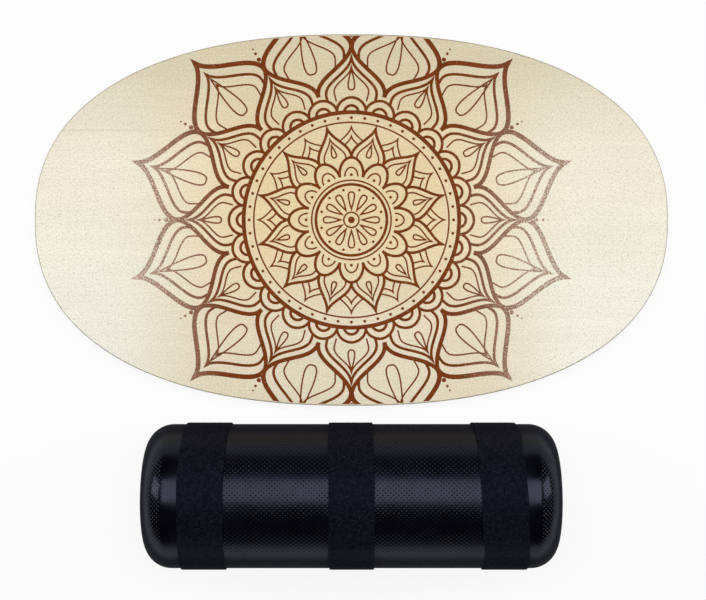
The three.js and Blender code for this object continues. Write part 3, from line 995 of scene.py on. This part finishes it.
strap_lies = {
    "strap_left": {"lap_degrees": -115, "shift": 0.4, "skew": -1.6, "sway": 0.5, "phase": 0.4},
    "strap_middle": {"lap_degrees": 62, "shift": 0.0, "skew": 0.5, "sway": 0.4, "phase": 2.1},
    "strap_right": {"lap_degrees": -115, "shift": 2.6, "skew": 5.0, "sway": 0.6, "phase": 4.4},
}


def strap_section(half_width, thick):
    """A flat section with round edges: pairs of place across the strap and height over its middle."""
    radius, spans = thick / 2, 10
    reach = half_width - radius
    right = arc((reach, 0), radius, -QUARTER_TURN, QUARTER_TURN, 6)
    left = arc((-reach, 0), radius, QUARTER_TURN, 3 * QUARTER_TURN, 6)
    top = [(reach - 2 * reach * i / spans, radius) for i in range(1, spans)]
    return right + top + left + [(-u, -v) for u, v in top]


def strap_rings(roller, node, lie):
    """Rings along a strap from its inner end, once round the roller, up a ramp and over to its outer end. Its
    lie says where it laps and, in millimetres, how far it is off its place, askew and wavy."""
    low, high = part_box(node)
    half_width, middle_x = (high.x - low.x) / 2, (high.x + low.x) / 2
    thick, phase = roller.strap_thickness, lie["phase"]
    ramp, set_back = 9 * MM / strap_radius, 1.0 * MM / strap_radius
    between_laps, under_size = 0.06 * MM, 0.02 * MM
    waviness, end_thinness, steps = 0.004, 0.55, 260
    lap_end = math.radians(lie["lap_degrees"])
    lap_start = lap_end - roller.strap_lap / strap_radius
    first, last = lap_start + set_back, lap_end + FULL_TURN
    rings = []
    for i in range(steps + 1):
        angle = first + (last - first) * i / steps
        rise = min(max((angle - (lap_start + FULL_TURN - ramp)) / ramp, 0), 1)
        lifted = (thick + between_laps) * rise * rise * (3 - 2 * rise)
        middle = strap_radius - under_size + lifted - thick / 2
        sway = lie["sway"] * (math.sin(3 * angle + phase) + 0.5 * math.sin(7 * angle + 2 * phase))
        offset = (lie["shift"] + lie["skew"] * math.sin(angle) + sway) * MM
        waist = 1 - waviness * math.sin(5 * angle + phase)
        is_end = i in (0, steps)
        ring = []
        for along, out in strap_section(half_width * waist, thick * (end_thinness if is_end else 1)):
            aside, up = (middle + out) * math.sin(angle), (middle + out) * math.cos(angle)
            ring.append((middle_x + offset + along, roller_centre.y - aside, roller_centre.z + up))
        rings.append(ring)
    return rings


# Operators

class Maker:
    """What the operators share: each can be undone."""

    bl_options = {"REGISTER", "UNDO"}


class ROLABOLA_OT_veneers(Maker, bpy.types.Operator):
    """Build the face and back veneers"""

    bl_idname = "rolabola.veneers"
    bl_label = "Veneers"

    def execute(self, context):
        deck = context.scene.rolabola_deck
        material = veneer_finish(deck)
        for node in ("back_veneer", "face_veneer"):
            build_ply(deck, node, material, "veneer")
        return {"FINISHED"}


class ROLABOLA_OT_inner_plies(Maker, bpy.types.Operator):
    """Build the plies between the veneers, their grain along and across the deck in turn"""

    bl_idname = "rolabola.inner_plies"
    bl_label = "Inner Plies"

    def execute(self, context):
        deck = context.scene.rolabola_deck
        along = (deck.long_ply, (14, 700, 900), "long_ply")
        across = (deck.cross_ply, (700, 14, 900), "cross_ply")
        for node in ("cross_ply_lower", "long_ply_lower", "core_ply", "long_ply_upper", "cross_ply_upper"):
            low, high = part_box(node)
            colour, stretch, slot = along if node.startswith("long") else across
            build_ply(deck, node, ply_finish(node + "_wood", colour, stretch, low.z, high.z), slot)
        return {"FINISHED"}


class ROLABOLA_OT_ornament(Maker, bpy.types.Operator):
    """Print the flower ornament on the deck, cut off where it runs over the edge"""

    bl_idname = "rolabola.ornament"
    bl_label = "Ornament"

    def execute(self, context):
        deck = context.scene.rolabola_deck
        flat_points, flat_faces = ink_faces(deck)
        if not flat_faces:
            raise RuntimeError("the ornament has no ink on the deck")
        points, faces = film(flat_points, flat_faces, deck_high.z - deck.ink_film, deck_high.z + deck.ink_film)
        piece = mesh_piece("printed_ornament", points, faces, sharp_degrees=10)
        dress(piece, ink_finish(deck), "board")
        return {"FINISHED"}


class ROLABOLA_OT_end_stops(Maker, bpy.types.Operator):
    """Build the two wooden stops with their countersunk holes"""

    bl_idname = "rolabola.end_stops"
    bl_label = "End Stops"

    def execute(self, context):
        material = stop_finish(context.scene.rolabola_deck)
        for side in ("left", "right"):
            node = "end_stop_" + side
            piece = mesh_piece(node + "_bar", *skin(bar_rings(*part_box(node))))
            holes = [screw_hole_rings(*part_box(screw)) for screw in screw_nodes(side)]
            carve(piece, [mesh_piece("hole_tool", *skin(hole)) for hole in holes])
            dress(piece, material, "board", [node], "stop_wood")
        return {"FINISHED"}


class ROLABOLA_OT_stop_screws(Maker, bpy.types.Operator):
    """Build the countersunk screws that hold the stops, each turned as the driver left it"""

    bl_idname = "rolabola.stop_screws"
    bl_label = "Stop Screws"

    def execute(self, context):
        material = zinc_finish(context.scene.rolabola_roller)
        turn_between = 0.7
        for side, first_turn in (("left", 0.3), ("right", 1.1)):
            for index, node in enumerate(screw_nodes(side)):
                low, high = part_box(node)
                centre = (low + high) / 2
                points, faces = screw_mesh(low, high)
                flat = turned([p[:2] for p in points], turn_between * index + first_turn)
                placed = [(centre.x + u, centre.y + v, low.z + p[2]) for (u, v), p in zip(flat, points)]
                dress(mesh_piece(node + "_turned", placed, faces), material, "board", [node], "zinc")
        return {"FINISHED"}


class ROLABOLA_OT_roller_shell(Maker, bpy.types.Operator):
    """Build the hollow roller with round shoulders, dished ends and moulded diamonds"""

    bl_idname = "rolabola.roller_shell"
    bl_label = "Roller Shell"

    def execute(self, context):
        roller = context.scene.rolabola_roller
        piece = mesh_piece("roller_drum", *skin(turned_rings(shell_profile(roller), steps=192)))
        dress(piece, moulding_finish(roller), "roller", ["roller_shell"], "moulding")
        return {"FINISHED"}


class ROLABOLA_OT_vent_plug(Maker, bpy.types.Operator):
    """Build the snap-in plug that closes the roller's vent"""

    bl_idname = "rolabola.vent_plug"
    bl_label = "Vent Plug"

    def execute(self, context):
        roller = context.scene.rolabola_roller
        piece = mesh_piece("vent_stopper", *skin(turned_rings(plug_profile(roller), steps=96)))
        dress(piece, plug_finish(roller), "vent_plug", ["vent_plug"], "plug")
        return {"FINISHED"}


class ROLABOLA_OT_straps(Maker, bpy.types.Operator):
    """Wind the three fabric straps round the roller, each with its outer end lapped over"""

    bl_idname = "rolabola.straps"
    bl_label = "Straps"

    def execute(self, context):
        roller = context.scene.rolabola_roller
        material = strap_finish(roller)
        for node, lie in strap_lies.items():
            piece = mesh_piece(node + "_band", *skin(strap_rings(roller, node, lie)), sharp_degrees=50)
            dress(piece, material, "roller", [node], "strap_fabric")
        return {"FINISHED"}


# Stage

def floor_finish(stage):
    """A pale matt floor that shows mostly plain white, keeps a soft shadow and is all white further out."""
    bench = material_bench("pale_floor")
    x, y, _ = bench.axes()
    near, far = 0.8, 2.4
    white = bench.between(bench.reach(x, y), near, far, stage.floor_white, 1.0)
    bench.show_white(white, "ShaderNodeEmission", "Material Output")
    mottled = bench.shaded(stage.floor_colour, bench.noise(3, 2), 0.995, 1.005)
    return bench.shade(Base_Color=mottled, Roughness=0.9, Specular_IOR_Level=0.1)


def light_world(scene, stage):
    """An even dim light all round, with white towards the horizon and below it for what is seen there."""
    scene.world = bpy.data.worlds.new("studio")
    bench = Bench(scene.world, "Background", "Generated")
    low_down = bench.between(bench.axes()[2], 0.15, 0.3, 1.0, 0.0)
    bench.show_white(low_down, "ShaderNodeBackground", "World Output")
    bench.shade(Color=WHITE, Strength=stage.ambient)


def add_lamp(scene, name, power, size, place, aim):
    """A soft rectangular lamp that faces a point."""
    lamp = bpy.data.lights.new(name, "AREA")
    lamp.shape, lamp.size, lamp.size_y, lamp.energy = "RECTANGLE", size[0], size[1], power
    holder = bpy.data.objects.new(name, lamp)
    holder.location = place
    holder.rotation_euler = (Vector(place) - Vector(aim)).to_track_quat("Z", "Y").to_euler()
    holder.visible_camera = False
    scene.collection.objects.link(holder)


class ROLABOLA_OT_stage(Maker, bpy.types.Operator):
    """Lay the floor, light the pair and set the camera straight above it"""

    bl_idname = "rolabola.stage"
    bl_label = "Stage"

    def execute(self, context):
        scene = context.scene
        stage = scene.rolabola_stage
        reach, thickness, gap = 20.0, 0.02, 0.05 * MM
        outline = circle((0, 0), reach, 96)
        floor = mesh_piece("floor", *skin([at_height(outline, -thickness - gap), at_height(outline, -gap)]))
        floor.data.materials.append(floor_finish(stage))
        floor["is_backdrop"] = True
        light_world(scene, stage)
        for side, name in ((-1, "left_softbox"), (1, "right_softbox")):
            place, aim = (1.22 * side, 0.2, 1.1), (0.1 * side, -0.1, 0.1)
            add_lamp(scene, name, stage.side_lamp, size=(0.6, 0.8), place=place, aim=aim)
        place, aim = (0.03, 0.25, 1.9), (0.0, -0.35, 0.0)
        add_lamp(scene, "top_panel", stage.top_lamp, size=(1.65, 1.18), place=place, aim=aim)
        camera = bpy.data.cameras.new("camera")
        camera.lens = stage.camera_lens
        camera.sensor_width = 36
        holder = bpy.data.objects.new("camera", camera)
        off_middle = (1.9 * MM, -4.8 * MM)
        holder.location = (*off_middle, stage.camera_height)
        scene.collection.objects.link(holder)
        scene.camera = holder
        scene.view_settings.view_transform = "Standard"
        return {"FINISHED"}


class ROLABOLA_PT_panel(bpy.types.Panel):
    """Lists what builds the rola bola, piece by piece"""

    bl_idname = "ROLABOLA_PT_panel"
    bl_label = "Rola Bola"
    bl_space_type = "VIEW_3D"
    bl_region_type = "UI"
    bl_category = "Rola Bola"

    def draw(self, context):
        for name in setting_groups:
            group = getattr(context.scene, name)
            box = self.layout.box()
            for each in group.__annotations__:
                box.prop(group, each)
        for operator in operators:
            self.layout.operator(operator.bl_idname)


setting_groups = {
    "rolabola_deck": DeckSettings,
    "rolabola_roller": RollerSettings,
    "rolabola_stage": StageSettings,
}
operators = (
    ROLABOLA_OT_veneers,
    ROLABOLA_OT_inner_plies,
    ROLABOLA_OT_ornament,
    ROLABOLA_OT_end_stops,
    ROLABOLA_OT_stop_screws,
    ROLABOLA_OT_roller_shell,
    ROLABOLA_OT_vent_plug,
    ROLABOLA_OT_straps,
    ROLABOLA_OT_stage,
)
classes = (*setting_groups.values(), *operators, ROLABOLA_PT_panel)


def register():
    for each in classes:
        bpy.utils.register_class(each)
    for name, group in setting_groups.items():
        setattr(bpy.types.Scene, name, PointerProperty(type=group))


def unregister():
    for name in setting_groups:
        delattr(bpy.types.Scene, name)
    for each in reversed(classes):
        bpy.utils.unregister_class(each)


def main():
    register()
    for operator in operators:
        getattr(bpy.ops.rolabola, operator.bl_idname.split(".")[1])()
    boxes = {"cad": cad_box, "visual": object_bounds()}
    corners = {name: [list(low), list(high)] for name, (low, high) in boxes.items()}


if __name__ == "__main__":
    main()
